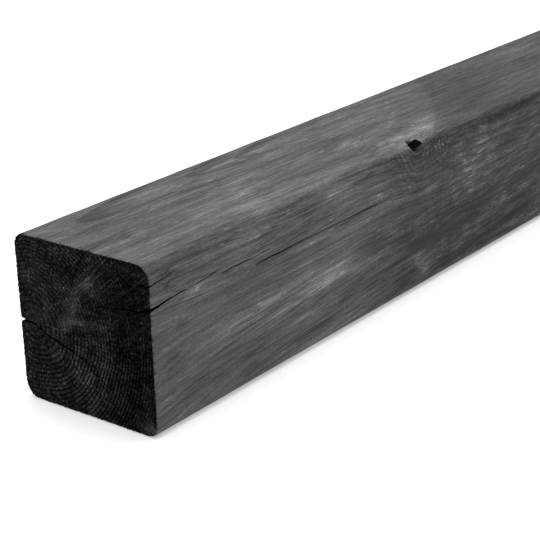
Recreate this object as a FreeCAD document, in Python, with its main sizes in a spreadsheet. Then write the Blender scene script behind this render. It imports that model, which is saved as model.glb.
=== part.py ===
"""Planed softwood post, lying on its side.

One sawn and planed piece of softwood with boxed heart: a square section with rounded arrises, cut
square at both ends. Drying has opened three checks at one end, and a knot that breaks through an
arris has lost its core and left a pit.

Frame: millimetres, X along the grain, Z up, the origin in the middle of the face that the post lies
on. The checked end is at -X. "Front" is the -Y face and "back" the +Y face.
"""
import FreeCAD
import Part
import math
import os
from Sketcher import Constraint

SIZES = {
    # the planed stick
    "post_length": 1800.0,
    "post_width": 88.0,
    "post_height": 88.0,
    "arris_radius": 6.5,
    # the heart of the tree, where the checks point to
    "pith_from_back": 10.0,
    "pith_above_bottom": 42.0,
    # heart check: in from the back face, through the pith and on into the wood
    "heart_mouth_rise": 0.6,
    "heart_mouth_gap": 2.4,
    "heart_pith_gap": 0.9,
    "heart_tip_past_pith": 40.0,
    "heart_tip_drop": 13.5,
    "heart_run": 260.0,
    "heart_end_depth": 6.0,
    # front check: in from the front face towards the pith
    "front_mouth_below_top": 20.5,
    "front_mouth_gap": 1.5,
    "front_tip_depth": 44.0,
    "front_tip_drop": 9.5,
    "front_run": 250.0,
    "front_end_drop": 1.0,
    "front_end_depth": 4.0,
    # top check: in from the top face towards the pith
    "top_mouth_from_front": 39.5,
    "top_mouth_gap": 0.9,
    "top_tip_depth": 25.0,
    "top_tip_shift": 22.0,
    "top_run": 26.0,
    "top_end_depth": 3.0,
    # a check that has closed to a hair line, and how far every cutter starts outside the wood
    "hair_gap": 0.3,
    "overrun": 2.0,
    # the pit that the knot's core left, on the arris between the front and top faces
    "knot_from_end": 229.0,
    "knot_half_length": 8.0,
    "knot_half_width": 5.0,
    "knot_half_depth": 6.0,
    "knot_inset": 1.5,
}


def size_sheet(doc):
    """The driving dimensions, one aliased cell each."""
    sheet = doc.addObject("Spreadsheet::Sheet", "sizes")
    for row, (name, value) in enumerate(SIZES.items(), start=1):
        sheet.set(f"A{row}", name)
        sheet.set(f"B{row}", str(value))
        sheet.setAlias(f"B{row}", name)
    doc.recompute()
    return sheet


def origin_plane(body, role):
    """One of the body's own origin planes, found by its role."""
    return next(f for f in body.Origin.OriginFeatures if f.Role == role)


def section_sketch(body, name, station):
    """An empty sketch across the grain, at the X that the expression `station` gives."""
    sketch = body.newObject("Sketcher::SketchObject", name)
    sketch.AttachmentSupport = [(origin_plane(body, "YZ_Plane"), "")]
    sketch.MapMode = "FlatFace"
    sketch.setExpression("AttachmentOffset.Base.z", station)
    return sketch


def drive(sketch, name, constraint, expression):
    """Adds a constraint and binds it to the sheet."""
    index = sketch.addConstraint(constraint)
    sketch.renameConstraint(index, name)
    sketch.setExpression(f"Constraints.{name}", expression)


def add_planed_stick(body):
    """The rounded square section, padded to both sides of the middle."""
    sketch = section_sketch(body, "planed_section", "0")
    right, top, radius = SIZES["post_width"] / 2, SIZES["post_height"], SIZES["arris_radius"]
    # Each side runs from one rounding to the next, anticlockwise from the bottom one.
    sides = [
        ((-right + radius, 0), (right - radius, 0)),
        ((right, radius), (right, top - radius)),
        ((right - radius, top), (-right + radius, top)),
        ((-right, top - radius), (-right, radius)),
    ]
    for start, end in sides:
        sketch.addGeometry(Part.LineSegment(FreeCAD.Vector(*start, 0), FreeCAD.Vector(*end, 0)), False)
    centres = [
        (right - radius, radius),
        (right - radius, top - radius),
        (-right + radius, top - radius),
        (-right + radius, radius),
    ]
    for number, centre in enumerate(centres):
        circle = Part.Circle(FreeCAD.Vector(*centre, 0), FreeCAD.Vector(0, 0, 1), radius)
        first = math.radians(90 * (number - 1))
        sketch.addGeometry(Part.ArcOfCircle(circle, first, first + math.radians(90)), False)
    for side in range(4):
        rounding = 4 + side
        sketch.addConstraint(Constraint("Tangent", side, 2, rounding, 1))
        sketch.addConstraint(Constraint("Tangent", rounding, 2, (side + 1) % 4, 1))
    for side, way in enumerate(("Horizontal", "Vertical", "Horizontal", "Vertical")):
        sketch.addConstraint(Constraint(way, side))
    for rounding in (5, 6, 7):
        sketch.addConstraint(Constraint("Equal", 4, rounding))
    sketch.addConstraint(Constraint("PointOnObject", 0, 1, -1))
    drive(sketch, "radius", Constraint("Radius", 4, radius), "sizes.arris_radius")
    drive(sketch, "width", Constraint("DistanceX", 3, 1, 1, 1, 2 * right), "sizes.post_width")
    drive(sketch, "right", Constraint("DistanceX", -1, 1, 1, 1, right), "sizes.post_width / 2")
    drive(sketch, "height", Constraint("DistanceY", 0, 1, 2, 1, top), "sizes.post_height")

    pad = body.newObject("PartDesign::Pad", "planed_stick")
    pad.Profile = sketch
    pad.Midplane = True
    pad.setExpression("Length", "sizes.post_length")


def outline_sketch(body, name, station, corners):
    """A closed outline across the grain. Each corner is a pair of expressions, for Y and for Z."""
    sketch = section_sketch(body, name, station)
    count = len(corners)
    # The outline starts as a regular one about the origin, and the constraints take each corner to its place.
    turns = [2 * math.pi * index / count for index in range(count)]
    starts = [FreeCAD.Vector(math.cos(turn), math.sin(turn), 0) for turn in turns]
    for index in range(count):
        sketch.addGeometry(Part.LineSegment(starts[index], starts[(index + 1) % count]), False)
    for index in range(count):
        sketch.addConstraint(Constraint("Coincident", index, 2, (index + 1) % count, 1))
    for index, (side, height) in enumerate(corners):
        drive(sketch, f"side{index}", Constraint("DistanceX", -1, 1, index, 1, starts[index].x), side)
        drive(sketch, f"height{index}", Constraint("DistanceY", -1, 1, index, 1, starts[index].y), height)
    return sketch


def add_check(body, name, run, near, far):
    """A split that tapers along the grain, from its outline at the sawn end to the one `run` further in."""
    end = "-sizes.post_length / 2"
    loft = body.newObject("PartDesign::SubtractiveLoft", name)
    near_sketch = outline_sketch(body, f"{name}_near", f"{end} - sizes.overrun", near)
    far_sketch = outline_sketch(body, f"{name}_far", f"{end} + {run}", far)
    loft.Profile = near_sketch
    loft.Sections = [far_sketch]
    loft.Ruled = True


BACK = "sizes.post_width / 2"
FRONT = "-sizes.post_width / 2"
TOP = "sizes.post_height"
PITH_Y = f"({BACK} - sizes.pith_from_back)"
PITH_Z = "sizes.pith_above_bottom"


def slit(side, height, gap):
    """The two lips of a split, `gap` apart in height, at one place across the section."""
    return (side, f"{height} - {gap} / 2"), (side, f"{height} + {gap} / 2")


def add_heart_check(body):
    """The split that runs from the back face through the pith, and stops inside the wood."""
    outside = f"{BACK} + sizes.overrun"
    mouth_z = f"({PITH_Z} + sizes.heart_mouth_rise)"
    low_mouth, high_mouth = slit(outside, mouth_z, "sizes.heart_mouth_gap")
    low_pith, high_pith = slit(PITH_Y, PITH_Z, "sizes.heart_pith_gap")
    tip = (f"{PITH_Y} - sizes.heart_tip_past_pith", f"{PITH_Z} - sizes.heart_tip_drop")
    near = [low_mouth, high_mouth, high_pith, tip, low_pith]

    low_end, high_end = slit(outside, mouth_z, "sizes.hair_gap")
    half_way = f"{BACK} - sizes.heart_end_depth / 2"
    low_half, high_half = slit(half_way, mouth_z, "sizes.hair_gap / 2")
    end_tip = (f"{BACK} - sizes.heart_end_depth", mouth_z)
    far = [low_end, high_end, high_half, end_tip, low_half]
    add_check(body, "heart_check", "sizes.heart_run", near, far)


def add_front_check(body):
    """The split in the front face. It points at the pith and narrows along the grain."""
    outside = f"{FRONT} - sizes.overrun"
    mouth_z = f"({TOP} - sizes.front_mouth_below_top)"
    low_mouth, high_mouth = slit(outside, mouth_z, "sizes.front_mouth_gap")
    tip = (f"{FRONT} + sizes.front_tip_depth", f"{mouth_z} - sizes.front_tip_drop")

    end_z = f"({mouth_z} - sizes.front_end_drop)"
    low_end, high_end = slit(outside, end_z, "sizes.hair_gap")
    end_tip = (f"{FRONT} + sizes.front_end_depth", end_z)
    near, far = [low_mouth, tip, high_mouth], [low_end, end_tip, high_end]
    add_check(body, "front_check", "sizes.front_run", near, far)


def add_top_check(body):
    """The short split in the top face, which slants down towards the pith."""
    outside = f"{TOP} + sizes.overrun"
    mouth_y = f"({FRONT} + sizes.top_mouth_from_front)"
    end_tip = (mouth_y, f"{TOP} - sizes.top_end_depth")
    tip = (f"{mouth_y} + sizes.top_tip_shift", f"{TOP} - sizes.top_tip_depth")

    def lips(gap):
        return (f"{mouth_y} - {gap} / 2", outside), (f"{mouth_y} + {gap} / 2", outside)

    front_lip, back_lip = lips("sizes.top_mouth_gap")
    front_end, back_end = lips("sizes.hair_gap")
    near, far = [front_lip, back_lip, tip], [front_end, back_end, end_tip]
    add_check(body, "top_check", "sizes.top_run", near, far)


def add_knot_pit(body):
    """The pit where the knot's core has broken out of the arris, long side along the grain."""
    pit = body.newObject("PartDesign::SubtractiveEllipsoid", "knot_pit")
    pit.AttachmentSupport = [(origin_plane(body, "XY_Plane"), "")]
    pit.MapMode = "FlatFace"
    pit.setExpression("Radius1", "sizes.knot_half_depth")
    pit.setExpression("Radius2", "sizes.knot_half_length")
    pit.setExpression("Radius3", "sizes.knot_half_width")
    pit.setExpression("AttachmentOffset.Base.x", "-sizes.post_length / 2 + sizes.knot_from_end")
    pit.setExpression("AttachmentOffset.Base.y", f"{FRONT} + sizes.knot_inset")
    pit.setExpression("AttachmentOffset.Base.z", f"{TOP} - sizes.knot_inset")


def check_states(doc):
    """Stops if a feature failed, because a recompute can leave one failed without an error."""
    for item in doc.Objects:
        if "Invalid" in item.State or "Error" in item.State:
            raise RuntimeError(f"{item.Name} failed: {item.State}")


def main():
    doc = FreeCAD.newDocument("timber_post")
    size_sheet(doc)
    post = doc.addObject("PartDesign::Body", "timber_post")
    post.Label = "timber_post"
    for add in (add_planed_stick, add_heart_check, add_front_check, add_top_check, add_knot_pit):
        before = post.Shape.Volume if post.Tip else 0.0
        add(post)
        doc.recompute()
        check_states(doc)
        print(f"{add.__name__}: volume {before:.0f} -> {post.Shape.Volume:.0f} mm3")
        if post.Shape.Volume == before:
            raise RuntimeError(f"{add.__name__} changed nothing")

    shape = post.Shape
    if shape.isNull() or not shape.isValid() or len(shape.Solids) != 1:
        raise RuntimeError("the post is not one valid solid")
    os.makedirs("parts", exist_ok=True)
    shape.exportStep(f"parts/{post.Label}.step")
    box = shape.optimalBoundingBox(False, False)
    print(f"{post.Label}: {box.XLength:.1f} x {box.YLength:.1f} x {box.ZLength:.1f} mm")


main()
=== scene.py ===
# %% [markdown]
# # A planed softwood post
#
# A post is the simplest thing a sawmill sells: one square stick, cut out of the middle of a log so that
# the heart of the tree runs inside it. All its character is in what the wood does: growth rings on the
# sawn end, streaks along the planed faces, the splits that open as it dries, and a knot that has dropped
# out of an edge. This lesson makes that stick in Blender, round a model that is already the right size.

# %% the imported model
import math

import bpy
from mathutils import Euler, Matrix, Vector


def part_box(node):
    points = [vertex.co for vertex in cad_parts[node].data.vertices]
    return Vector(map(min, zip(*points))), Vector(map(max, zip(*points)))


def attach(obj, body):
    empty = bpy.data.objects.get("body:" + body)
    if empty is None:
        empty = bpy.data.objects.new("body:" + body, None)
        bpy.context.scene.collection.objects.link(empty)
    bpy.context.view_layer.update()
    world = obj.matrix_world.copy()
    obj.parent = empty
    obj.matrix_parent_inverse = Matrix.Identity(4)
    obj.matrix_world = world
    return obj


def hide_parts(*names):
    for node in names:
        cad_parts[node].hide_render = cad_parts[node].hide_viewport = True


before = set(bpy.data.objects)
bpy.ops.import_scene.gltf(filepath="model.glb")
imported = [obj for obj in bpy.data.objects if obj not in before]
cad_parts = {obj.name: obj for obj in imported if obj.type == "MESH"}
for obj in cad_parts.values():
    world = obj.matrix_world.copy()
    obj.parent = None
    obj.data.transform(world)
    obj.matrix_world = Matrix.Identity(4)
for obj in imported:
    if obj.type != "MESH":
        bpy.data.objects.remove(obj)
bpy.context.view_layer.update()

low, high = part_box("timber_post")
print("post, in metres:", [round(side, 4) for side in high - low])

# %% [markdown]
# ## Working in millimetres
#
# Timber is measured in millimetres, and so is every number below. Three directions are enough: `along`
# the grain from the checked end, `side` across the post from its middle towards the back face, and `up`
# from its middle towards the top face. Blender works in metres, so the last step of the tree scales by MM.

# %% the stick's own sizes
MM = 0.001
LENGTH, WIDTH, HEIGHT = ((high - low) / MM)
CORNER = 6.5        # the radius that the planer gives the long edges
PITH_SIDE = 34.0    # where the heart of the tree comes out of the checked end
PITH_UP = -2.0
KNOT_ALONG = 229.0  # the middle of the fallen knot, on the edge between front and top
print(f"stick {LENGTH:.0f} x {WIDTH:.0f} x {HEIGHT:.0f} mm, rounded to {CORNER} mm")

# %% [markdown]
# ## Sums that write node trees
#
# A shape or a finish made of sums needs dozens of Math nodes, and lists of nodes and links are hard to
# read. So a socket is wrapped in a small class whose plus and minus signs add the matching node. The same
# sums then work in a Geometry Nodes tree and in a material, and the growth rings can be shared by both.

# %% a flow: the value on a socket, ready for sums
class Flow:
    """A socket of a node tree that sums can be written with."""

    def __init__(self, tree, socket):
        self.tree, self.socket = tree, socket

    def __add__(self, other):
        return calc("ADD", self, other)

    def __radd__(self, other):
        return calc("ADD", other, self)

    def __sub__(self, other):
        return calc("SUBTRACT", self, other)

    def __rsub__(self, other):
        return calc("SUBTRACT", other, self)

    def __mul__(self, other):
        return calc("MULTIPLY", self, other)

    def __rmul__(self, other):
        return calc("MULTIPLY", other, self)

    def __truediv__(self, other):
        return calc("DIVIDE", self, other)

    def __neg__(self):
        return calc("MULTIPLY", self, -1.0)


def add_node(tree, kind, inputs=None, output=0, **settings):
    """Adds a node, sets it, fills its inputs with flows or plain values, and returns one output."""
    node = tree.nodes.new(kind)
    for name, value in settings.items():
        setattr(node, name, value)
    for key, value in (inputs or {}).items():
        if isinstance(value, Flow):
            tree.links.new(value.socket, node.inputs[key])
        else:
            node.inputs[key].default_value = value
    return Flow(tree, node.outputs[output])


def calc(operation, *values):
    """One Math node."""
    tree = next(value.tree for value in values if isinstance(value, Flow))
    return add_node(tree, "ShaderNodeMath", dict(enumerate(values)), operation=operation)


def join(along, side, up):
    """Three numbers as one vector."""
    tree = next(value.tree for value in (along, side, up) if isinstance(value, Flow))
    return add_node(tree, "ShaderNodeCombineXYZ", {0: along, 1: side, 2: up})


def part_xyz(flow):
    """One vector as three numbers."""
    return [add_node(flow.tree, "ShaderNodeSeparateXYZ", {0: flow}, output) for output in range(3)]


print("sums ready: + - * / on a Flow, calc, join and part_xyz")

# %% [markdown]
# Four shapes of curve do most of the work: a soft step, a soft bump that is flat outside its reach, a
# bell that never quite ends, and Perlin noise that is stretched along the grain as wood is.

# %% the curves and the noise
def step_up(value, start, end):
    """0 before start, 1 after end, and an S-curve between them."""
    return add_node(value.tree, "ShaderNodeMapRange", {0: value, 1: start, 2: end, 3: 0.0, 4: 1.0},
                    interpolation_type="SMOOTHSTEP")


def step_down(value, start, end):
    """1 before start and 0 after end."""
    return 1.0 - step_up(value, start, end)


def bump(value, reach):
    """1 at zero, falling to 0 at plus and minus reach."""
    square = calc("MINIMUM", (value / reach) * (value / reach), 1.0)
    return (1.0 - square) * (1.0 - square)


def bell(value, width):
    """1 at zero, 0.37 at plus and minus width, and never quite 0."""
    return calc("EXPONENT", -(value / width) * (value / width))


def absolute(value):
    """The value without its sign."""
    return calc("ABSOLUTE", value)


def noise(along, side, up, length, width, seed=0.0, detail=2.0, roughness=0.5):
    """Perlin noise of 0 to 1 with its features `length` mm long and `width` mm across."""
    place = join(along / length + seed, side / width + seed * 1.7, up / width - seed)
    return add_node(place.tree, "ShaderNodeTexNoise",
                    {"Vector": place, "Scale": 1.0, "Detail": detail, "Roughness": roughness})


print("curves ready: step_up, step_down, bump, bell and noise")

# %% [markdown]
# ## The tree inside the post
#
# A trunk grows a ring a year round its pith, and the pith isn't quite straight: here it climbs and swings
# a little. So the distance from that wandering line tells which year a point of wood grew in. On the sawn
# end this draws the rings, and on the top face, which cuts the rings at a slant, the same sum draws the
# pointed arches that joiners call cathedral grain.

# %% growth rings
PITH_DRIFT = 4.0            # the pith moves this far towards the middle
PITH_DRIFT_LENGTH = 200.0   # over this length
PITH_SWING = 14.0           # and it climbs and falls by this much
PITH_SWING_LENGTH = 300.0
RINGS_AT_1_MM = 0.12        # rings inside the first millimetre of radius
RINGS_POWER = 1.3           # over 1, the later rings are narrower


def pith_line(along):
    """Where the pith is, across the post, at one place along it."""
    side = PITH_SIDE - PITH_DRIFT * step_up(along, 0.0, PITH_DRIFT_LENGTH)
    up = PITH_UP + PITH_SWING * calc("SINE", along / PITH_SWING_LENGTH)
    return side, up


def ring_count(along, side, up):
    """How many years of wood lie between the pith and this point."""
    pith_side, pith_up = pith_line(along)
    across, above = side - pith_side, up - pith_up
    radius = calc("SQRT", across * across + above * above)
    wobble = (noise(along, side, up, 120.0, 26.0, seed=3.0, detail=1.0) - 0.5) * 4.0
    return RINGS_AT_1_MM * calc("POWER", radius + wobble * step_up(radius, 2.0, 14.0), RINGS_POWER)


def late_wood(years):
    """1 in the hard dark line that ends each year, 0 in the soft wood of the spring."""
    within = calc("FRACT", years)
    return step_up(within, 0.35, 0.85) * step_down(within, 0.9, 1.0)


print("rings from the pith to the far corner:", round(
    RINGS_AT_1_MM * math.hypot(PITH_SIDE + WIDTH / 2, HEIGHT / 2 - PITH_UP) ** RINGS_POWER))

# %% [markdown]
# ## One block, bent into a post
#
# The post is a box, so the tree starts from the Cube primitive, cut into a grid about as fine as the
# detail it has to carry. It could also be a rectangle swept along a line, but a swept shape ends in a
# many-sided cap with a star of thin triangles, and the sawn end is the best part of this object. A grid of
# squares on the end and one on every face share their edges, so the whole post is one closed skin.
#
# The grid is even, and detail isn't: the tree moves the cross-cuts closer together near the checked end
# and at the knot, where there is more to show.

# %% a new tree with named inputs
SIZES = {
    "Length": LENGTH,
    "Width": WIDTH,
    "Height": HEIGHT,
    "Corner Radius": CORNER,
    "Uneven Corners": 2.2,
    "Front Split Gap": 1.5,
    "Heart Split Gap": 2.6,
    "Top Split Gap": 0.6,
    "Knot Pit Depth": 7.0,
    "Planing Relief": 0.22,
    "Sawing Relief": 0.30,
    "Edge Wear": 0.25,
}
COUNTS = {"Cuts Along": 232, "Cuts Across": 88}
FINISHES = ("Planed Finish", "Sawn Finish", "Split Shade Finish")

tree = bpy.data.node_groups.new("post_from_block", "GeometryNodeTree")
for name in SIZES:
    tree.interface.new_socket(name=name, in_out="INPUT", socket_type="NodeSocketFloat")
for name in COUNTS:
    tree.interface.new_socket(name=name, in_out="INPUT", socket_type="NodeSocketInt")
for name in FINISHES:
    tree.interface.new_socket(name=name, in_out="INPUT", socket_type="NodeSocketMaterial")
tree.interface.new_socket(name="Post", in_out="OUTPUT", socket_type="NodeSocketGeometry")
entry = tree.nodes.new("NodeGroupInput")
given = {socket.name: Flow(tree, socket) for socket in entry.outputs if socket.name}
half_width, half_height = given["Width"] / 2.0, given["Height"] / 2.0
print("tree inputs:", ", ".join(given))

# %% [markdown]
# The Cube node makes the grid. Two kinds of coordinates are read from it before anything moves: the place
# in millimetres, and `share`, which runs from 0 at the checked end to 1 at the far one. Masks of 0 or 1 say
# whether a point lies on an end or on one of the four long faces.

# %% the block and its coordinates
block = add_node(tree, "GeometryNodeMeshCube", {
    "Size": join(given["Length"], given["Width"], given["Height"]),
    "Vertices X": given["Cuts Along"],
    "Vertices Y": given["Cuts Across"] + 1.0,
    "Vertices Z": given["Cuts Across"] + 1.0,
})
block_along, block_side, block_up = part_xyz(add_node(tree, "GeometryNodeInputPosition"))
share = block_along / given["Length"] + 0.5

at_checked_end = step_down(share, 0.0, 0.0005)
at_far_end = step_up(share, 0.9995, 1.0)
at_ends = at_checked_end + at_far_end
edge_side = step_up(absolute(block_side) / half_width, 0.999, 1.0)
edge_up = step_up(absolute(block_up) / half_height, 0.999, 1.0)
on_faces = calc("MAXIMUM", edge_side, edge_up)
print(f"grid: {COUNTS['Cuts Along']} cross-cuts, {COUNTS['Cuts Across']} squares across each face")

# %% [markdown]
# The share of the length is bent into a curve that starts flat, which draws the cross-cuts towards the
# checked end, and a bell pulls the ones by the knot closer to it. One last cut stays right behind the far
# end, so that its edge is as crisp as the near one.

# %% cross-cuts closer together where there is more to show
EVEN_SHARE = 0.2    # how much of the length is spread evenly; the rest crowds towards the checked end
CROWDING = 3.0      # the power of that curve
KNOT_PULL = 0.6     # how strongly the cuts are drawn to the knot, where 1 would stack them
KNOT_PULL_REACH = 24.0
LAST_CUT = 1.5      # the last cut before the far end
spread = given["Length"] * (share * EVEN_SHARE + calc("POWER", share, CROWDING) * (1.0 - EVEN_SHARE))
from_knot = spread - KNOT_ALONG
spread = spread - from_knot * KNOT_PULL * bell(from_knot, KNOT_PULL_REACH)
cut_number = share * (given["Cuts Along"] - 1.0)
last_cut = step_up(cut_number, given["Cuts Along"] - 2.6, given["Cuts Along"] - 2.4) - at_far_end
along = spread + last_cut * (given["Length"] - LAST_CUT - spread)
print(f"first cross-cut about {LENGTH * EVEN_SHARE / COUNTS['Cuts Along']:.1f} mm from the checked end")

# %% [markdown]
# ## Splits
#
# Wood shrinks round its rings more than across them, so a post with the heart inside has to split: the
# splits start at the sawn end, point at the pith and close up further in. Cutting them with a Boolean
# would leave slivers all over the faces. Instead one line of the grid is moved onto the path of the split
# and pushed down into the wood, and the lines on both sides of it become the lips. The grid stays whole.

# %% one split, for any line of the grid
SHUT_GAP = 0.5      # the lips' distance where the split is shut, so that no line crosses another
OPENING = (0.18, 0.3)   # the gap, in mm, between which a split goes from shut to open
cell = given["Width"] / given["Cuts Across"]
from_front = block_side + half_width
from_back = half_width - block_side
from_top = half_height - block_up


def open_split(across, anchor, path, gap, present, reach):
    """Moves the grid line at `anchor` onto `path` and its neighbours to the lips of a gap.
    Returns the moved coordinate and a mask of the line itself, for pushing it into the wood."""
    lines_away = (across - anchor) / cell
    on_line = bump(lines_away, 0.5)
    on_lips = step_down(absolute(lines_away), 1.2, 1.4) * step_up(absolute(lines_away), 0.6, 0.8)
    past_lips = calc("MAXIMUM", absolute(across - anchor) - cell * 1.2, 0.0)
    drawn_in = (path - anchor) * bump(past_lips, reach) * present
    lip_gap = calc("MAXIMUM", gap, SHUT_GAP - gap * 1.6)
    lip_place = calc("SIGN", lines_away) * (lip_gap / 2.0 - cell)
    moved = across + drawn_in + lip_place * on_lips * present
    return moved, on_line * present * step_up(gap, *OPENING)


def fibre_wander(size, length, seed):
    """How a split strays from its line as it follows the fibres."""
    return (noise(along, block_side, block_up, length, 20.0, seed=seed, detail=3.0) - 0.5) * size


jag = (noise(along, block_side, block_up, 60.0, 5.0, seed=43.0, detail=3.0) - 0.5) * 3.0
print(f"a split is open from a gap of {OPENING[1]} mm")

# %% [markdown]
# The widest split in the front face starts at the sawn end and climbs as it goes, because the fibres lean.
# Where they lean too far it pinches and jumps down to the next weak line, and soon it closes. All the
# `up` places are measured from the middle of the post, and all the `along` ones from the checked end.

# %% the first split in the front face
FRONT_ANCHOR = 23.0
FRONT_START, FRONT_CLIMB = 22.0, 5.2
FRONT_JUMP, FRONT_JUMP_ALONG = 2.2, 50.0
FRONT_CLOSED = 92.0     # along
FRONT_INTO_END = 44.0   # how far across the sawn end it can be followed
HAIR = 0.36             # the gap of the hair split that it narrows to

near_front = step_down(from_front, FRONT_INTO_END - 8.0, FRONT_INTO_END + 18.0)
end_drift = jag - 2.2 * step_up(from_front, 0.0, 9.0) - 5.0 * step_up(from_front, 12.0, 40.0)
front_path = FRONT_START + FRONT_CLIMB * (1.0 - calc("EXPONENT", along / -38.0))
front_path = front_path - FRONT_JUMP * step_up(along, FRONT_JUMP_ALONG - 2.0, FRONT_JUMP_ALONG + 3.0)
front_path = front_path + end_drift + fibre_wander(1.4, 9.0, 11.0)
pinched = 1.0 - 0.9 * bump(along - FRONT_JUMP_ALONG, 4.0)
front_gap = (given["Front Split Gap"] - HAIR) * calc("EXPONENT", along / -16.0) + HAIR
front_gap = front_gap * step_down(along, FRONT_CLOSED - 8.0, FRONT_CLOSED) * pinched
front_gap = front_gap * step_down(from_front, 0.0, FRONT_INTO_END)
front_gap = front_gap * (1.0 - 0.4 * step_up(from_front, 2.0, 9.0))
front_present = step_down(along, FRONT_CLOSED, FRONT_CLOSED + 38.0) * near_front
up_1, front_line = open_split(block_up, FRONT_ANCHOR, front_path, front_gap, front_present, 15.0)
print(f"first split: {SIZES['Front Split Gap']} mm wide at the end, closed {FRONT_CLOSED:.0f} mm in")

# %% [markdown]
# A second split passes the first before that closes and carries on towards the knot, thin and patchy. It
# stays inside the face, so it has no mouth in the end. A third, the shortest, starts just under the corner.

# %% the second and third splits in the front face
SECOND_ANCHOR = 19.0
SECOND_OPENS, SECOND_CLOSED = 74.0, 196.0   # along
THIRD_ANCHOR = 35.0
THIRD_START, THIRD_CLOSED = 34.2, 30.0      # up at the end, and along

second_path = SECOND_ANCHOR + 2.0 * step_up(along, 90.0, 130.0) - 0.8 * step_up(along, 170.0, 250.0)
second_path = second_path + fibre_wander(0.7, 14.0, 17.0)
patchy = step_up(noise(along, block_side, block_up, 12.0, 40.0, seed=23.0), 0.38, 0.52)
second_gap = (0.24 + 0.1 * bell(along - 100.0, 40.0)) * step_up(along, SECOND_OPENS, SECOND_OPENS + 10.0)
second_gap = second_gap * step_down(along, SECOND_CLOSED - 18.0, SECOND_CLOSED)
second_gap = second_gap * (0.8 + 0.3 * patchy)
second_present = step_up(along, SECOND_OPENS - 14.0, SECOND_OPENS + 2.0)
second_present = second_present * step_down(along, SECOND_CLOSED + 54.0, SECOND_CLOSED + 74.0)
second_present = second_present * step_down(from_front, 0.1, 0.5)
up_2, second_line = open_split(block_up, SECOND_ANCHOR, second_path, second_gap, second_present, 5.0)

third_path = THIRD_START + along * 0.09 + fibre_wander(0.8, 8.0, 29.0)
third_gap = 0.42 * step_down(along, THIRD_CLOSED - 16.0, THIRD_CLOSED) * step_down(from_front, 2.0, 12.0)
third_present = step_down(along, THIRD_CLOSED, THIRD_CLOSED + 10.0) * step_down(from_front, 12.0, 16.0)
up_3, third_line = open_split(block_up, THIRD_ANCHOR, third_path, third_gap, third_present, 5.0)
print(f"second split: {SECOND_OPENS:.0f} to {SECOND_CLOSED:.0f} mm; third: to {THIRD_CLOSED:.0f} mm")

# %% [markdown]
# The heart split is the one that every boxed-heart post gets. It opens in the back face, where the pith
# is nearest to the skin, bends through the pith and slants down across the end until it closes.

# %% the heart split, from the back face through the pith
HEART_ANCHOR = -8.0
HEART_CLOSED = 262.0        # along
HEART_INTO_END = 58.0       # how far across the end it can be followed from the back face
HEART_INNER_GAP = 1.2       # the gap inside its mouth

in_heart = step_down(from_back, HEART_INTO_END - 8.0, HEART_INTO_END + 24.0)
past_pith = from_back - (WIDTH / 2 - PITH_SIDE)
heart_path = -2.3 - 3.0 * step_up(past_pith, -1.0, 6.0)
heart_path = heart_path - 10.8 * calc("MAXIMUM", past_pith - 6.0, 0.0) / 34.0
heart_path = heart_path + jag * step_up(from_back, 2.0, 6.0) + 1.3 * bump(past_pith - 5.0, 2.5)
heart_path = heart_path + fibre_wander(1.3, 9.0, 31.0)
heart_gap = HEART_INNER_GAP + (given["Heart Split Gap"] - HEART_INNER_GAP) * step_down(from_back, 0.0, 5.0)
heart_gap = heart_gap * step_down(along, 60.0, HEART_CLOSED)
heart_gap = heart_gap * step_down(from_back, HEART_INTO_END - 24.0, HEART_INTO_END)
heart_gap = heart_gap * (1.0 - 0.4 * bump(past_pith - 6.5, 2.5))
heart_present = step_down(along, HEART_CLOSED, HEART_CLOSED + 68.0) * in_heart
up_4, heart_line = open_split(block_up, HEART_ANCHOR, heart_path, heart_gap, heart_present, 17.0)

split_up = up_1 + up_2 + up_3 + up_4 - block_up * 3.0
print(f"heart split: {SIZES['Heart Split Gap']} mm wide, closed {HEART_CLOSED:.0f} mm in")

# %% [markdown]
# The last split is a short hair in the top face that slants towards the pith. The others moved lines up
# and down; this one moves a line of the grid sideways.

# %% the short split in the top face
TOP_ANCHOR = -3.0
TOP_START, TOP_CLOSED = -5.5, 26.0      # side at the end, and along

top_path = TOP_START + along * 0.08 + calc("MINIMUM", from_top, 18.0) * 0.8
top_gap = given["Top Split Gap"] * step_down(along, TOP_CLOSED - 16.0, TOP_CLOSED)
top_gap = top_gap * step_down(from_top, 5.0, 20.0)
top_present = step_down(along, TOP_CLOSED, TOP_CLOSED + 24.0) * step_down(from_top, 17.0, 46.0)
split_side, top_line = open_split(block_side, TOP_ANCHOR, top_path, top_gap, top_present, 19.0)
print(f"top split: {SIZES['Top Split Gap']} mm wide, closed {TOP_CLOSED:.0f} mm in")

# %% [markdown]
# So far the splits are only drawn on the skin. Now each line is pushed into the wood: in from its face,
# and back from the sawn end. The two depths meet behind the corner, so the bottom of a split is one curve.

# %% how deep each line is pushed, into the face and into the end
def push(line, from_face, face_depth, end_depth):
    """The push into the face and the push into the end, in mm."""
    into_face = line * face_depth * step_down(from_face, 0.0, face_depth * 2.2)
    into_end = line * end_depth * calc("MAXIMUM", 1.0 - along / (end_depth * 2.5), 0.0)
    return into_face, into_end


front_in, front_along = push(front_line, from_front, 5.5, 7.0)
second_in, _ = push(second_line, from_front, 3.0, 2.0)
third_in, third_along = push(third_line, from_front, 2.5, 3.0)
heart_in, heart_along = push(heart_line, from_back, 7.0, 9.0)
top_in, top_along = push(top_line, from_top, 3.0, 4.0)
push_along = front_along + third_along + heart_along + top_along
push_side = front_in + second_in + third_in - heart_in
push_up = (front_in + second_in) * -0.2 - top_in
split_mask = calc("MINIMUM", front_line + second_line + third_line + heart_line + top_line, 1.0)
print("nodes for the grid and the splits:", len(tree.nodes))

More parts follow.
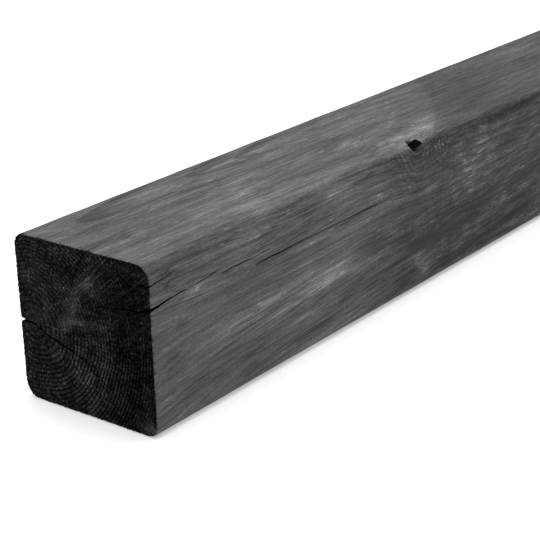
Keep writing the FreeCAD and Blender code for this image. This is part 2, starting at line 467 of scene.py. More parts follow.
# %% [markdown]
# ## Rounding the long edges
#
# The planer's cutters round the four long edges. A Bevel modifier would add faces of its own and disturb
# the grid, so the corners are folded instead: inside each corner square, a point at distance d from the
# inner corner, measured as a square, is moved to distance d measured as a circle.

# %% fold the square corners round
# the planer rounded two of the edges more: this is 1 at the front top and the back bottom ones
wider_pair = step_up(split_side * split_up, 1.0, -1.0)
corner = given["Corner Radius"] + given["Uneven Corners"] * wider_pair
flat_side = half_width - corner
flat_up = half_height - corner
over_side = calc("MAXIMUM", absolute(split_side) - flat_side, 0.0)
over_up = calc("MAXIMUM", absolute(split_up) - flat_up, 0.0)
square = calc("MAXIMUM", over_side, over_up)
circle = calc("MAXIMUM", calc("SQRT", over_side * over_side + over_up * over_up), 0.001)
fold = square / circle
side_sign, up_sign = calc("SIGN", split_side), calc("SIGN", split_up)
round_side = side_sign * (calc("MINIMUM", absolute(split_side), flat_side) + over_side * fold)
round_up = up_sign * (calc("MINIMUM", absolute(split_up), flat_up) + over_up * fold)

# the way out of the wood, of length 1 on the long faces and 0 inside the ends
out_side = side_sign * over_side * fold / corner * on_faces
out_up = up_sign * over_up * fold / corner * on_faces
print(f"corners: {CORNER} mm, and {CORNER + SIZES['Uneven Corners']} mm on the other two")

# %% [markdown]
# ## Relief
#
# Planing leaves the hard latewood standing a little proud, and the saw leaves faint scores on the end.
# Nothing may grow outside the post's true size, so every relief only goes down from the surface.

# %% relief on the faces, the end and the edge between them
years = ring_count(along, round_side, round_up)
soft_wood = 1.0 - late_wood(years)
streaks = noise(along, round_side, round_up, 26.0, 3.0, seed=5.0, detail=3.0)
broad = noise(along, round_side, round_up, 120.0, 30.0, seed=7.0, detail=1.0)
face_drop = given["Planing Relief"] * (0.5 * soft_wood + 1.1 * streaks + 0.8 * broad)

scores = noise(round_side + round_up * 0.25, round_up, along, 60.0, 1.6, seed=13.0, detail=1.0)
pores = noise(along, round_side, round_up, 2.5, 2.5, seed=19.0, detail=3.0)
end_drop = given["Sawing Relief"] * (0.5 * soft_wood + 0.5 * scores + 0.9 * pores)

chips = noise(along, round_side, round_up, 3.0, 2.2, seed=37.0, detail=4.0, roughness=0.7)
edge_drop = on_faces * at_ends * given["Edge Wear"] * (0.5 + 1.6 * step_up(chips, 0.35, 0.8))

torn_place = bump(along - 13.0, 12.0) * bump(round_up - 34.0, 9.0) * step_down(from_front, 0.5, 1.0)
torn = torn_place * step_up(chips, 0.5, 0.62) * 1.1

face_drop = on_faces * (face_drop + torn) + edge_drop
end_drop = at_ends * end_drop + edge_drop
inwards_along = at_checked_end - at_far_end
print(f"relief: {SIZES['Planing Relief']} mm on the faces, {SIZES['Sawing Relief']} mm on the ends")

# %% [markdown]
# ## The fallen knot
#
# A branch grew out through the edge between the front and top faces. Its loose core has dropped out and
# left a pit with a ragged rim. The pit is half of a squashed ball that slants along the post, with its
# surface roughened by the same chips as the worn edges; points inside the ball are pushed into the corner.

# %% the pit on the edge
PIT_LENGTH, PIT_TAPER = 8.5, 0.4    # half its length at the edge, and how much of it is lost per mm inwards
PIT_SLANT = 0.28                    # how much further along it lies per mm inwards
PIT_ACROSS, PIT_DOWN = 10.0, 3.4    # half its size across the top face and down the front one

pit_inwards = round_side + half_width + 3.0
pit_reach = PIT_LENGTH - PIT_TAPER * calc("MINIMUM", pit_inwards, 16.0)
pit_along = (along - KNOT_ALONG - PIT_SLANT * pit_inwards - (chips - 0.5) * 3.0) / pit_reach
pit_side = (round_side + half_width - 2.5) / PIT_ACROSS
pit_up = (round_up - half_height) / PIT_DOWN
pit_shape = 1.0 - pit_along * pit_along - pit_side * pit_side - pit_up * pit_up
pit_shape = calc("SQRT", calc("MAXIMUM", pit_shape, 0.0))
pit = on_faces * pit_shape * given["Knot Pit Depth"] * (0.7 + 0.6 * chips)
print(f"pit: {SIZES['Knot Pit Depth']} mm deep, {KNOT_ALONG:.0f} mm from the end")

# %% [markdown]
# ## Putting it together
#
# Everything worked out so far is a distance to move. Added up they give one new place for each point, so
# the tree needs a single Set Position. Masks that later steps need are stored on the mesh by name.

# %% every move together
final_along = along + push_along + inwards_along * end_drop
final_side = round_side + push_side - out_side * face_drop + pit * 0.7
final_up = round_up + push_up - out_up * face_drop - pit * 0.7
place = join(
    (final_along - given["Length"] / 2.0) * MM,
    final_side * MM,
    (final_up + half_height) * MM,
)


def keep_mask(post, name, value, domain, data_type="FLOAT"):
    """Stores a number on the mesh, for the steps and the materials that come later."""
    return add_node(tree, "GeometryNodeStoreNamedAttribute", {"Geometry": post, "Name": name, "Value": value},
                    data_type=data_type, domain=domain)


def read_mask(name):
    """Reads a stored number back."""
    return add_node(tree, "GeometryNodeInputNamedAttribute", {"Name": name}, data_type="FLOAT")


print("nodes with every move:", len(tree.nodes))

# %% [markdown]
# ## The skin laid flat
#
# When the finishes are baked into a picture, every part of the skin needs a place of its own on a flat
# square. A post is long and thin, so an automatic layout would leave it blurred. This one places the parts one
# by one:
# the four sides lie in rows, the near part in full detail and the rest squeezed, and the ends stand above
# them. The places come from the block, before it is bent, so nothing can overlap.

# %% rows on a square of 1024 steps
SQUARE = 1024.0
GUTTER = 4.0                            # free steps between two parts of the layout
CLOSE_PART = 600.0                      # this much of the length, in mm, is laid out in detail
CLOSE_SCALE, CLOSE_ROW = 1.6, 141.0     # steps for each mm of length, and the height of a row
FAR_SCALE, FAR_ROW = 0.8, 40.0
FAR_OVERLAP = 15.0                      # squares that straddle the border reach this far back, in mm
END_SIZE = 248.0

# the four long faces are numbered 0 to 3; two of them stand upright
by_diagonal = step_up(block_side + block_up, -0.01, 0.01)
by_other_diagonal = step_up(block_up - block_side, -0.01, 0.01)
side_number = 2.0 * by_diagonal + by_other_diagonal
upright = step_up(absolute(block_side) - absolute(block_up), -0.01, 0.01)
row, is_upright = read_mask("side_number"), read_mask("upright")
is_far, is_end, is_far_end = read_mask("far_part"), read_mask("end_face"), read_mask("far_end")
rise = (is_upright * block_up + (1.0 - is_upright) * block_side) / given["Width"] + 0.5

close_first = GUTTER + along * CLOSE_SCALE
close_second = GUTTER + row * (CLOSE_ROW + GUTTER) + rise * CLOSE_ROW
far_first = GUTTER + (along - CLOSE_PART + FAR_OVERLAP) * FAR_SCALE
far_second = 4.0 * (CLOSE_ROW + GUTTER) + GUTTER + row * (FAR_ROW + GUTTER) + rise * FAR_ROW
ends_start = 4.0 * (CLOSE_ROW + FAR_ROW + 2.0 * GUTTER) + GUTTER
end_first = GUTTER + is_far_end * (END_SIZE + GUTTER) + (block_side / given["Width"] + 0.5) * END_SIZE
end_second = ends_start + (block_up / given["Height"] + 0.5) * END_SIZE

flat_first = close_first + (far_first - close_first) * is_far
flat_second = close_second + (far_second - close_second) * is_far
flat_first = flat_first + (end_first - flat_first) * is_end
flat_second = flat_second + (end_second - flat_second) * is_end
flat_place = join(flat_first / SQUARE, flat_second / SQUARE, 0.0)
print(f"the layout uses {ends_start + END_SIZE:.0f} of {SQUARE:.0f} steps")

# %% [markdown]
# ## The tree's last steps
#
# The masks and the layout are stored first, while the block is still square. Then the points move, once.
# The skin is shaded smooth apart from the walls of the splits, whose edges are torn. The planed finish goes
# on everywhere, and the ends, the splits and the pit are painted over it by their masks, the splits and the
# pit with near-black painted shade.

# %% store, move, shade and paint
on_ends = step_up(absolute(share - 0.5), 0.4999, 0.49999)
post = keep_mask(block, "end_face", on_ends, "FACE")
post = keep_mask(post, "far_end", step_up(share, 0.4, 0.6), "FACE")
post = keep_mask(post, "far_part", step_up(spread, CLOSE_PART, CLOSE_PART + 0.01), "FACE")
post = keep_mask(post, "side_number", side_number, "FACE")
post = keep_mask(post, "upright", upright, "FACE")
post = keep_mask(post, "OFBake", flat_place, "CORNER", "FLOAT2")
post = keep_mask(post, "split_depth", split_mask, "POINT")
post = keep_mask(post, "pit_depth", pit_shape * on_faces, "POINT")
post = add_node(tree, "GeometryNodeSetPosition", {"Geometry": post, "Position": place})

at_end = add_node(tree, "FunctionNodeCompare", {0: read_mask("end_face"), 1: 0.5})
in_split = add_node(tree, "FunctionNodeCompare", {0: read_mask("split_depth"), 1: 0.02})
in_pit = add_node(tree, "FunctionNodeCompare", {0: read_mask("pit_depth"), 1: 0.3})
post = add_node(tree, "GeometryNodeSetShadeSmooth", {0: post, 2: True})
post = add_node(tree, "GeometryNodeSetShadeSmooth", {0: post, 1: in_split, 2: False})
post = add_node(tree, "GeometryNodeRealizeInstances", {0: post})
post = add_node(tree, "GeometryNodeSetMaterial", {0: post, "Material": given["Planed Finish"]})
for where, finish_name in ((at_end, "Sawn Finish"), (in_split, "Split Shade Finish"), (in_pit, "Split Shade Finish")):
    choice = {0: post, "Selection": where, "Material": given[finish_name]}
    post = add_node(tree, "GeometryNodeSetMaterial", choice)
exit_node = tree.nodes.new("NodeGroupOutput")
tree.links.new(post.socket, exit_node.inputs["Post"])
print("tree nodes:", len(tree.nodes))

# %% [markdown]
# ## Finishes
#
# The post is stained: a thin dark grey that sinks in unevenly, so the soft wood drinks more than the hard,
# and the fibres of the open end drink most and go nearly black.

# %% a material, and where its colour is looked up
def new_finish(name, roughness, shine):
    """A material with its Principled shader. Numbers that are the same everywhere go on its own sockets."""
    finish = bpy.data.materials.new(name)
    finish.use_nodes = True
    shader = finish.node_tree.nodes["Principled BSDF"]
    shader.inputs["Roughness"].default_value = roughness
    shader.inputs["Specular IOR Level"].default_value = shine
    return finish, finish.node_tree, shader


def stock_place(tree):
    """The Object coordinates as along, side and up, in millimetres."""
    x, y, z = part_xyz(add_node(tree, "ShaderNodeTexCoord", output=3))
    return x / MM + LENGTH / 2.0, y / MM, z / MM - HEIGHT / 2.0


def tinted(tree, tone, dark, light, balance):
    """A grey of a given tone, between two slight tints."""
    ends = {0: balance, 6: (*dark, 1.0), 7: (*light, 1.0)}
    tint = add_node(tree, "ShaderNodeMix", ends, 2, data_type="RGBA")
    grey = join(tone, tone, tone)
    return add_node(tree, "ShaderNodeVectorMath", {0: tint, 1: grey}, operation="MULTIPLY")


def plug(flow, shader, name):
    """Links a flow to one of the shader's own sockets."""
    flow.tree.links.new(flow.socket, shader.inputs[name])


def carve(tree, shader, height, strength, distance):
    """Turns a height in millimetres into bump on a shader."""
    reading = {"Strength": strength, "Distance": distance * MM, "Height": height}
    plug(add_node(tree, "ShaderNodeBump", reading), shader, "Normal")


print("finish helpers ready: new_finish, stock_place, tinted, plug and carve")

# %% [markdown]
# ## Marks listed one by one
#
# Noise gives wood its texture, but not its character: that is in the few patches and strokes that this
# one stick has. Each is a soft ellipse with a middle, two half-sizes, a turn and a strength, dark below
# zero. Every point is carried into the ellipse's own space, where the edge is at distance 1.

# %% one mark, as a group that is made once and used for all of them
MARK_INPUTS = ("First", "Second", "Middle First", "Middle Second", "Half First", "Half Second",
               "Cosine", "Sine", "Strength", "Sum So Far")
mark_group = bpy.data.node_groups.new("soft_mark", "ShaderNodeTree")
for name in MARK_INPUTS:
    mark_group.interface.new_socket(name=name, in_out="INPUT", socket_type="NodeSocketFloat")
mark_group.interface.new_socket(name="Sum", in_out="OUTPUT", socket_type="NodeSocketFloat")
mark_entry = mark_group.nodes.new("NodeGroupInput")
asked = {socket.name: Flow(mark_group, socket) for socket in mark_entry.outputs if socket.name}
away_first = asked["First"] - asked["Middle First"]
away_second = asked["Second"] - asked["Middle Second"]
lengthwise = (away_first * asked["Cosine"] + away_second * asked["Sine"]) / asked["Half First"]
crosswise = (away_second * asked["Cosine"] - away_first * asked["Sine"]) / asked["Half Second"]
mark = calc("EXPONENT", -(lengthwise * lengthwise + crosswise * crosswise)) * asked["Strength"]
mark_exit = mark_group.nodes.new("NodeGroupOutput")
mark_group.links.new((mark + asked["Sum So Far"]).socket, mark_exit.inputs["Sum"])


def marks(first, second, table):
    """The sum of all the ellipses in a table. A row: middle, half-sizes (mm), turn (degrees), strength."""
    total = 0.0
    for middle_first, middle_second, half_first, half_second, turn, strength in table:
        cosine, sine = math.cos(math.radians(turn)), math.sin(math.radians(turn))
        ellipse = (middle_first, middle_second, half_first, half_second, cosine, sine, strength)
        inputs = dict(zip(MARK_INPUTS, (first, second, *ellipse, total)))
        total = add_node(first.tree, "ShaderNodeGroup", inputs, node_tree=mark_group)
    return total


print("nodes for each mark:", len(mark_group.nodes))

# %% [markdown]
# Marks on the front are placed by `along` and `up`, on the top by `along` and `side`, and on the sawn end by
# `side` and `up`, all in millimetres; both ends share the last table. Long thin ones are streaks of raised
# or torn fibre, short fat ones are places where the stain sank in less or more.

# %% where they are
FRONT_MARKS = [
    (110, -6, 58, 8, 1, 0.24), (92, -3, 26, 1.3, 3, 0.24), (140, -9, 24, 1.4, 1, 0.20),
    (118, 7, 20, 1.0, 1, 0.24), (100, -12, 22, 1.0, 4, 0.20), (150, -2.5, 16, 1.0, 2, 0.20),
    (60, 36, 40, 1.6, 1, 0.14), (28, 38, 9, 0.8, 0, 0.30), (150, 37.5, 10, 0.9, 0, 0.30),
    (36, 22, 4, 1.1, 0, 0.42), (14, 30, 4, 0.9, -30, -0.40), (18, 33.5, 4, 0.7, 20, -0.40),
    (12, 36.5, 6, 0.6, 4, -0.40), (20, 27, 4, 0.8, -40, -0.34), (212, 20.4, 30, 0.4, -1, -0.50),
    (290, 22, 34, 14, -6, 0.14), (285, 3, 24, 7, 4, 0.14), (320, -17, 50, 3, 5, 0.22),
    (335, 41, 40, 3, 0, -0.24), (330, -5, 60, 5, 9, -0.20), (232, -13, 34, 5, -10, -0.16),
    (31, 22, 8, 2.5, 8, 0.20), (181, -1, 15, 4, -2, -0.34), (228, 3.5, 14, 1.3, 2, -0.34),
    (217, -8, 12, 3, 5, -0.28), (246, -16, 34, 5, 5, -0.34), (300, -11, 22, 4, 10, -0.30),
    (160, -24.5, 16, 0.9, 1, -0.34), (78, -34.5, 12, 1.0, 4, -0.40), (205, -18, 30, 1.2, 7, -0.22),
    (236, -30, 9, 10, 25, 0.44), (268, -35, 16, 1.8, 4, -0.80), (302, -32.5, 20, 1.4, 5, -0.70),
    (350, -28, 26, 2.2, 6, -0.85), (345, -19.5, 12, 1.6, 8, -0.45), (307, 33, 20, 5, 0, 0.20),
    (290, 9, 6, 9, 0, 0.18), (255, 12, 20, 2, 10, -0.20), (22, 8.5, 3, 2, 0, -0.25),
    (95, -20, 34, 1.4, 4, -0.16), (60, -27, 26, 1.0, 6, -0.2), (140, -31, 26, 1.0, 4, -0.22),
    (168, -14, 26, 1.2, 3, -0.2), (205, 10, 26, 1.4, 0, -0.18), (120, 27, 34, 1.2, 0, -0.14),
    (150, 32, 30, 1.4, 1, 0.14), (75, 30, 26, 1.4, 1, 0.12), (14, -7, 14, 1.0, 16, -0.28),
    (20, -2, 14, 0.9, 14, -0.24), (12, -12, 9, 0.8, 18, -0.24), (340, 40, 40, 2.0, 2, -0.25),
    (372, -4, 30, 3.5, 6, -0.22), (190, 28, 14, 8, 80, 0.10), (45, -20, 22, 1.2, 6, -0.16),
    (120, -28, 30, 1.3, 5, -0.14), (128, 14, 24, 1.5, 0, -0.10),
]
TOP_MARKS = [
    (40, 26, 14, 5, 0, -0.16), (112, 14, 7, 1.0, 2, 0.40), (137, 26.5, 12, 1.4, 2, 0.34),
    (150, 22.5, 4, 1.0, 8, 0.30), (37, -6.7, 6, 0.8, 0, 0.26), (56, 1, 4, 0.7, 0, 0.20),
    (84, 3, 14, 3.0, 0, -0.20), (80, 26, 30, 4, 0, 0.10), (15, -2, 30, 0.9, 0, -0.2),
    (24, 14, 30, 1.0, 2, -0.2), (60, -8, 26, 1.0, 0, -0.16), (52, 6, 26, 1.0, 0, -0.14),
    (196, -3, 15, 8, 22, -0.24), (233, -25, 12, 6, 0, 0.24), (258, -27, 30, 9, 25, 0.28),
    (226, -34, 12, 6, 10, 0.24), (203, -36, 16, 2.5, 0, 0.20), (255, -43, 16, 4, 0, -0.34),
    (238, 15, 20, 4, 0, 0.14), (266, -1, 24, 1.6, 28, 0.16), (325, -18, 60, 22, 30, -0.14),
    (330, 8, 22, 3, 10, -0.16), (20, 30, 16, 8, 0, 0.10), (108, -14, 26, 8, 55, 0.14),
    (110, -28, 20, 0.9, 58, -0.22), (60, -28, 30, 3, 2, 0.10), (212, -12, 5, 1.0, 20, 0.26),
    (204, -9, 4, 0.8, 20, 0.26),
]
END_MARKS = [
    (-5, 28, 5, 3.0, -50, 0.3), (4, 6, 8, 2.0, 4, 0.3), (-12, 33, 12, 0.5, -42, 0.9),
    (-26, 22, 14, 0.5, -42, 0.5), (-4, 29, 7, 3.0, -40, 1.5), (9, 15, 6, 5, -40, 1.0),
    (3, 23, 5, 4, -40, 0.8), (3, 7, 10, 2.6, 4, 1.3), (14, 3, 7, 3.5, 0, 0.9),
    (-17, 10, 9, 2.0, 0, 0.5), (30, 24, 12, 13, 0, 0.55), (32, 2, 8, 7, 0, 0.6),
    (18, -11, 8, 5, -20, 0.6), (-38, -39, 7, 7, 0, 1.4), (-1, -39, 2.0, 6, 0, 0.7),
    (2, -22, 22, 12, -30, 0.35), (-34, 40, 12, 3, 0, 0.5), (30, -30, 12, 10, 0, 0.15),
]
print(len(FRONT_MARKS) + len(TOP_MARKS) + len(END_MARKS), "marks")

# %% [markdown]
# ## The planed faces
#
# Stained planed softwood is built up from the large to the small: broad clouds where the stain sank in
# unevenly, streaks a few millimetres wide, single fibres, thin dark lines, the growth rings, and light and
# dark flecks where the planer lifted a fibre. All but the rings and the flecks are the same stretched noise
# at different sizes. The grain isn't quite parallel to the post, so the coordinate that runs across it leans
# with the fibres.

# %% flecks, arches and the knot
def flecks(along, side, up, length, width, seed, rare):
    """Short dashes along the grain: one long cell in every `rare` gets one."""
    place = join(along / length + seed, side / width, up / width + seed)
    cells = {"Vector": place, "Scale": 1.0, "Randomness": 1.0}
    distance = add_node(place.tree, "ShaderNodeTexVoronoi", cells)
    colour = add_node(place.tree, "ShaderNodeTexVoronoi", cells, 1)
    lot = part_xyz(colour)[0]
    return step_down(distance, 0.15, 0.42) * step_up(lot, 1.0 - 1.0 / rare, 1.0 - 0.6 / rare)


def arch(along, side, tip_along, tip_side, reach, strength):
    """One cathedral arch: a dark edge that opens away from its tip and fades on the inside."""
    away = absolute(side - tip_side)
    inside = (along - tip_along) - (away / 1.75) * (away / 1.75)
    fade = calc("EXPONENT", calc("MINIMUM", -inside / (8.0 + away * 2.2), 0.0))
    fade = fade * step_down(along, tip_along + reach * 0.5, tip_along + reach)
    return step_up(inside, -1.5, 1.5 + away * 0.3) * fade * strength


def knot_radius(along, side, up):
    """The distance from the middle of the branch, which starts at the pith; behind the pith it is far away."""
    a, b, c = along - KNOT_ALONG, side + WIDTH / 2, up - HEIGHT / 2
    outwards = b * -0.861 + c * 0.508
    behind = 60.0 * step_up(side, 4.0, 28.0)
    return calc("SQRT", a * a + b * b + c * c - outwards * outwards) + behind


print("figure ready: flecks, arch and knot_radius")

# %% [markdown]
# Three arches follow one another on the top face, each with its tip towards the checked end. Past them the
# face is a shade darker behind a slanting line.
#
# The wood turns round the knot in rings, and beyond it the fibres are pressed into ripples.

# %% the figure of the top face and of the knot
# each arch: its tip along and side, its reach and its strength
ARCHES = [(27.0, 26.0, 190.0, 0.30), (113.0, 28.0, 70.0, 0.26), (153.0, 27.0, 50.0, 0.34)]
SLANT_LINE_START = 247.0       # where the darker shade starts on the front edge


def top_figure(along, side, blotch):
    """The arches and the darker shade, as a tone to take away from the top face."""
    arches = arch(along, side, *ARCHES[0]) + arch(along, side, *ARCHES[1]) + arch(along, side, *ARCHES[2])
    from_edge = side + 40.5
    shade_edge = SLANT_LINE_START + 1.9 * from_edge - 0.0075 * from_edge * from_edge
    shade = step_up(along + blotch * 10.0 - shade_edge, -1.0, 3.0)
    return 2.8 * arches + 0.3 * shade


def knot_figure(knot, along, up, fibre, blotch):
    """The rings of the knot and the ripples past it, as a tone to take away from the front face."""
    rings = late_wood(knot / 3.6 + fibre * 0.4 + blotch * 1.1) * step_down(knot, 18.0, 24.0)
    ripples = late_wood(knot / 3.4 + fibre * 1.6 + blotch * 3.5) * bump(knot - 24.0, 18.0)
    ripples = ripples * step_up(along, KNOT_ALONG + 6.0, KNOT_ALONG + 16.0) * step_up(up, 24.0, 34.0)
    return 0.8 * rings + 3.0 * ripples


print(len(ARCHES), "arches")

# %% [markdown]
# Now the finish itself. The tone is worked out as a sum that is positive where the wood is lighter, and an
# exponent at the end turns the sum into a colour. Layers that add up like this act as stain does: two dark
# layers multiply, and the colour never falls below zero. Painted shade in the sum makes the long sides darker
# than the top. The last lines darken the edge beside the sawn end, where stain bleeds round the corner, and
# paint shade into the hollow of the knot.

# %% the planed finish
STAIN = 0.092                       # how much light the stained face gives back
DARKER_FROM, DARKER_TO = 150.0, 270.0   # the faces get darker between these places, along


def planed_finish():
    """Stained, planed softwood for the four long faces."""
    finish, tree, shader = new_finish("planed_stain", 0.6, 0.25)
    along, side, up = stock_place(tree)
    on_top = step_up(up, HEIGHT / 2 - 3.0, HEIGHT / 2 - 1.0)
    on_sides = 1.0 - on_top
    low_front = step_down(up, 0.0, 16.0)
    lean = (along * 0.06 + 5.5 * (1.0 - calc("EXPONENT", along / -40.0))) * low_front
    sway = (noise(along, side, up, 140.0, 24.0, seed=1.0, detail=1.0) - 0.5) * 9.0
    knot = knot_radius(along, side, up)
    across = up - lean + sway * (1.0 - on_top * 0.5) + bell(knot, 24.0) * 6.0
    sideways = side + sway * 0.6

    # noise of several sizes, each about 0, and the lines and flecks that are made from it
    broad = noise(along, sideways, across, 60.0, 10.0, seed=2.0, detail=2.0) - 0.5
    streak = noise(along, sideways, across, 60.0, 2.6, seed=4.0, detail=3.0) - 0.5
    fibre = noise(along, sideways, across, 40.0, 0.85, seed=6.0, detail=4.0, roughness=0.62) - 0.5
    blotch = noise(along, sideways, across, 13.0, 3.6, seed=12.0, detail=3.0, roughness=0.6) - 0.5
    lines = noise(along, sideways, across, 70.0, 1.9, seed=14.0, detail=1.0) - 0.5
    wisps = noise(along, sideways, across, 46.0, 1.3, seed=24.0, detail=1.0) - 0.5
    nap = noise(along, side, up, 2.4, 0.9, seed=15.0, detail=2.0) - 0.5
    dark_lines = bell(lines, 0.035) * step_up(streak, -0.04, 0.1)
    dark_lines = dark_lines + bell(wisps - 0.08, 0.03) * step_down(broad, -0.05, 0.08)
    late = late_wood(ring_count(along, side, up)) * step_up(broad, -0.12, 0.1)
    light = flecks(along, sideways, across, 9.0, 1.1, 31.0, 14.0)
    dark = flecks(along, sideways, across, 12.0, 1.0, 41.0, 12.0)

    # the listed marks, with their edges frayed by the noise
    ragged_along = along + blotch * 24.0 + fibre * 10.0
    on_front = step_down(side, -42.0, -34.0) * on_sides
    placed = marks(ragged_along, up + fibre * 5.0, FRONT_MARKS) * on_front
    placed = placed + marks(ragged_along, side + fibre * 5.0, TOP_MARKS) * on_top

    # grain is the even texture, drawn is the figure, and the third sum is how dark each face is as a whole:
    # painted shade that makes the long sides darker than the top, and a darker far part
    further = step_up(along, DARKER_FROM, DARKER_TO)
    far = further * on_sides
    calm = 1.0 - 0.3 * step_down(along, 40.0, 90.0) * on_sides - 0.5 * bell(knot, 15.0)
    fine_lines = calc("MINIMUM", fibre, 0.06) * (3.4 - 1.2 * on_top) + 0.08
    grain = (1.7 * broad + 1.7 * streak + fine_lines) * calm + blotch * (0.7 + 4.4 * far)
    grain = grain + nap * (1.3 + 1.9 * far) + 1.2 * far * fibre
    grain = grain - 0.75 * dark_lines - 0.2 * late + 0.8 * light - 0.5 * dark
    drawn = 2.4 * placed - top_figure(along, side, blotch) * on_top
    drawn = drawn - knot_figure(knot, along, up, fibre, blotch) * on_sides
    # painted shade makes the long sides darker than the top; the far part of the faces, most on the lower half
    # of the sides, is darker too
    side_shade_and_far_dark = 0.02 + 0.34 * on_sides + 1.2 * far * (0.65 + 0.35 * step_down(up, -4.0, 12.0))
    side_shade_and_far_dark = side_shade_and_far_dark + (0.15 * further - 0.05 * bell(along - 150.0, 60.0)) * on_top
    tone = calc("EXPONENT", grain + drawn - side_shade_and_far_dark)

    frayed_end = along + fibre * 3.0 + blotch * 3.0 - 2.5 * step_up(side, 34.0, 44.0)
    hollow = add_node(tree, "ShaderNodeAttribute", output=2, attribute_name="pit_depth")
    tone = tone * (0.16 + 0.84 * step_up(frayed_end, 0.3, 1.4))
    # painted shade: the hollow of the knot goes nearly black
    tone = tone * (0.02 + 0.98 * step_down(hollow, 0.15, 0.45))

    cool = far * step_down(tone, 0.14, 0.34)
    colour = tinted(tree, tone * STAIN, (1.0, 0.985, 0.935), (1.0, 0.93, 1.01), cool)
    plug(colour, shader, "Base Color")
    plug(0.62 - fibre * 0.5, shader, "Roughness")
    carve(tree, shader, fibre + streak * 0.5 - dark_lines * 0.2, 0.45, 0.35)
    print("planed finish:", len(tree.nodes), "nodes")
    return finish


# %% [markdown]
# ## The sawn ends
#
# End grain drinks stain through thousands of open fibres and turns nearly black. The rings show as rows
# of lighter specks in the spring wood, each ring a little narrower than the one inside it. Fine rays run
# out from the pith, and a few straight light lines in the upper part are painted highlights, as on the edges
# of fine checks.

# %% the sawn finish
END_STAIN = 0.0068      # how much light the soaked end grain gives back


def sawn_finish():
    """End grain that has drunk its fill of stain, for both ends."""
    finish, tree, shader = new_finish("sawn_stain", 0.9, 0.0)
    along, side, up = stock_place(tree)
    pith_side, pith_up = pith_line(along)
    aside, above = side - pith_side, up - pith_up
    turn = calc("ARCTAN2", above, aside)
    radius = calc("SQRT", aside * aside + above * above)
    spring = 1.0 - late_wood(ring_count(along, side, up))

    speck = noise(along, side, up, 1.3, 1.3, seed=8.0, detail=3.0, roughness=0.7)
    cloud = noise(along, side, up, 9.0, 9.0, seed=10.0, detail=2.0) - 0.5
    dust = noise(along, side, up, 0.9, 0.9, seed=18.0, detail=2.0) - 0.5
    from_pith = join(turn * 60.0, radius / 9.0, along / 9.0)
    rays = add_node(tree, "ShaderNodeTexNoise", {"Vector": from_pith, "Scale": 1.0, "Detail": 1.0})
    # painted highlights: a few straight light lines, added to the tone of the end
    line_across, line_along = side * 0.64 + up * 0.77, up * 0.64 - side * 0.77
    highlight_lines = noise(line_along, line_across, along, 40.0, 0.9, seed=16.0, detail=0.0)
    highlight_lines = step_up(highlight_lines, 0.69, 0.76) * step_down(side, -4.0, 4.0) * step_up(up, 4.0, 14.0)

    # the rings are boldest below the heart, and the light patches hide them
    patches = calc("MINIMUM", marks(side + cloud * 12.0, up + speck * 3.0, END_MARKS), 1.5)
    bold = bell(side + 2.0, 26.0) * bell(up + 22.0, 17.0)
    plain = 1.0 - 0.6 * calc("MINIMUM", patches, 1.0)
    drawn = 1.3 * patches - 0.6 * step_down(side, -26.0, -8.0)
    grain = (6.4 * (speck - 0.5) + 4.6 * dust) * plain + (0.9 + 1.9 * bold) * plain * (spring - 0.6)
    grain = grain + 2.8 * cloud + 2.8 * (rays - 0.5)
    tone = calc("EXPONENT", drawn + grain) + highlight_lines * 1.6
    colour = tinted(tree, tone * END_STAIN, (1.0, 0.98, 0.94), (0.96, 1.0, 0.98), speck)
    plug(colour, shader, "Base Color")
    carve(tree, shader, speck + spring * 0.6, 0.5, 0.4)
    print("sawn finish:", len(tree.nodes), "nodes")
    return finish


# %% [markdown]
# Light hardly gets into a split a millimetre wide, and stain pools in it. Its walls are painted nearly black,
# partly for the pooled stain and partly as painted shade, with a little fibre in them, and have no shine at
# all.

# %% the walls of the splits and of the pit
def split_shade_finish():
    """Torn wood at the bottom of the splits and of the knot pit, painted nearly black: pooled stain and
    painted shade.
    """
    finish, tree, shader = new_finish("split_wood_painted_shade", 0.9, 0.0)
    along, side, up = stock_place(tree)
    fibre = noise(along, side, up, 10.0, 0.8, seed=9.0)
    # nearly black: pooled stain, and painted shade inside the splits and the pit
    colour = tinted(tree, 0.002 + 0.004 * fibre, (1.0, 0.95, 0.9), (1.0, 0.98, 0.95), fibre)
    plug(colour, shader, "Base Color")
    print("split finish:", len(tree.nodes), "nodes")
    return finish


# %% [markdown]
# ## Growing the post
#
# The tree needs an object to work on. It goes on an empty mesh as a modifier, every input is set by the
# socket's own identifier before anything is worked out, and the result is copied into a plain mesh. The
# empty object and its modifier are thrown away, so the post that stays is ordinary geometry.

# %% grow the post
MATERIALS = {
    "Planed Finish": planed_finish(),
    "Sawn Finish": sawn_finish(),
    "Split Shade Finish": split_shade_finish(),
}
CHOICES = {**SIZES, **COUNTS, **MATERIALS}
holder = bpy.data.objects.new("post_grower", bpy.data.meshes.new("post_seed"))
bpy.context.scene.collection.objects.link(holder)
grower = holder.modifiers.new("post_from_block", "NODES")
grower.node_group = tree
for socket in tree.interface.items_tree:
    if socket.in_out == "INPUT":
        grower[socket.identifier] = CHOICES[socket.name]
depsgraph = bpy.context.evaluated_depsgraph_get()
mesh = bpy.data.meshes.new_from_object(holder.evaluated_get(depsgraph), depsgraph=depsgraph)
bpy.data.objects.remove(holder)
post = bpy.data.objects.new("post", mesh)
mesh.name = "post"
bpy.context.scene.collection.objects.link(post)
mesh.calc_loop_triangles()
print(f"post: {len(mesh.vertices)} points, {len(mesh.loop_triangles)} triangles")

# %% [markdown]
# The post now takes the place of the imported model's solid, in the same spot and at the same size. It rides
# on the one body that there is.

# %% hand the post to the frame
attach(post, "root")
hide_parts("timber_post")
print("the post rides on root and stands for timber_post")

# %% [markdown]
# ## The studio
#
# Dark wood shows its relief best in soft light on a pale ground. The floor is a large sheet of white paper
# that glows faintly, as a light table does, which keeps the shadow under the post thin.

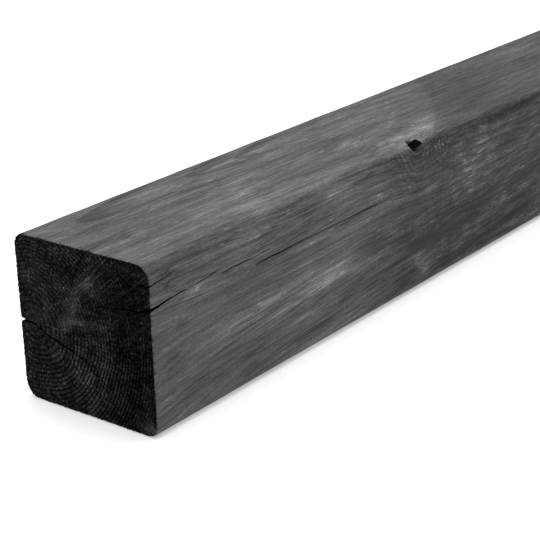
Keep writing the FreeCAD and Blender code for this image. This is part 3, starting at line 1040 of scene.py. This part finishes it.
# %% the studio floor
FLOOR_SIZE = 30.0
half = FLOOR_SIZE / 2
floor_corners = [(-half, -half, 0), (half, -half, 0), (half, half, 0), (-half, half, 0)]
floor_mesh = bpy.data.meshes.new("studio_floor")
floor_mesh.from_pydata(floor_corners, [], [(0, 1, 2, 3)])
floor = bpy.data.objects.new("studio_floor", floor_mesh)
bpy.context.scene.collection.objects.link(floor)
paper, _, paper_shader = new_finish("white_paper", 0.9, 0.1)
paper_shader.inputs["Base Color"].default_value = (0.9, 0.9, 0.9, 1.0)
paper_shader.inputs["Emission Color"].default_value = (1.0, 1.0, 1.0, 1.0)
paper_shader.inputs["Emission Strength"].default_value = 0.3
floor_mesh.materials.append(paper)
print(f"floor: {FLOOR_SIZE:.0f} m square")

# %% [markdown]
# Most of the light comes evenly from a white sky. One square soft box hangs over the post, a little behind
# its near end, so that the top face is the brightest, the front is a step darker and the end is darkest.

# %% the light
SKY_STRENGTH = 0.75
SOFT_BOX_SIZE, SOFT_BOX_POWER = 2.0, 38.0   # metres and watts
world = bpy.data.worlds.new("studio")
bpy.context.scene.world = world
world.use_nodes = True
sky = world.node_tree.nodes["Background"]
sky.inputs["Color"].default_value = (1.0, 1.0, 1.0, 1.0)
sky.inputs["Strength"].default_value = SKY_STRENGTH


def soft_box(name, place, target, size, power):
    """A square area light at `place` that faces `target`."""
    lamp = bpy.data.lights.new(name, "AREA")
    lamp.shape = "SQUARE"
    lamp.size = size
    lamp.energy = power
    light = bpy.data.objects.new(name, lamp)
    light.location = place
    light.rotation_euler = (Vector(target) - Vector(place)).to_track_quat("-Z", "Y").to_euler()
    bpy.context.scene.collection.objects.link(light)


near_end = Vector((low.x, (low.y + high.y) / 2, (low.z + high.z) / 2))
over_post, on_post = near_end + Vector((0.5, 0.1, 2.2)), near_end + Vector((0.3, 0, 0))
soft_box("over_the_post", over_post, on_post, SOFT_BOX_SIZE, SOFT_BOX_POWER)
print(f"soft box: {SOFT_BOX_POWER:.0f} W, {(over_post - on_post).length:.2f} m above the post")

# %% [markdown]
# ## The camera
#
# A long lens stands near the checked end and a little above it. It sees three faces: the end at a slant,
# the front running away to the right, and enough of the top to show the grain. Its place is measured from
# the middle of the end, and it is turned by azimuth and elevation, with a touch of roll.

# %% the camera
CAMERA_FROM_END = Vector((-0.4793, -0.4890, 0.2931))
AZIMUTH, ELEVATION, ROLL = math.radians(-51.97), math.radians(21.15), math.radians(-1.61)
LENS = 102.97   # mm, on a sensor 36 mm wide
camera_data = bpy.data.cameras.new("camera")
camera_data.lens = LENS
camera_data.sensor_width = 36.0
camera_data.clip_start = 0.01
camera = bpy.data.objects.new("camera", camera_data)
camera.location = near_end + CAMERA_FROM_END
aim = Euler((math.radians(90) - ELEVATION, 0.0, AZIMUTH)).to_matrix()
camera.rotation_euler = (aim @ Euler((0.0, 0.0, ROLL)).to_matrix()).to_euler()
bpy.context.scene.collection.objects.link(camera)
bpy.context.scene.camera = camera
bpy.context.scene.view_settings.view_transform = "Standard"
print(f"camera: {CAMERA_FROM_END.length:.2f} m from the end, with a {LENS:.0f} mm lens")
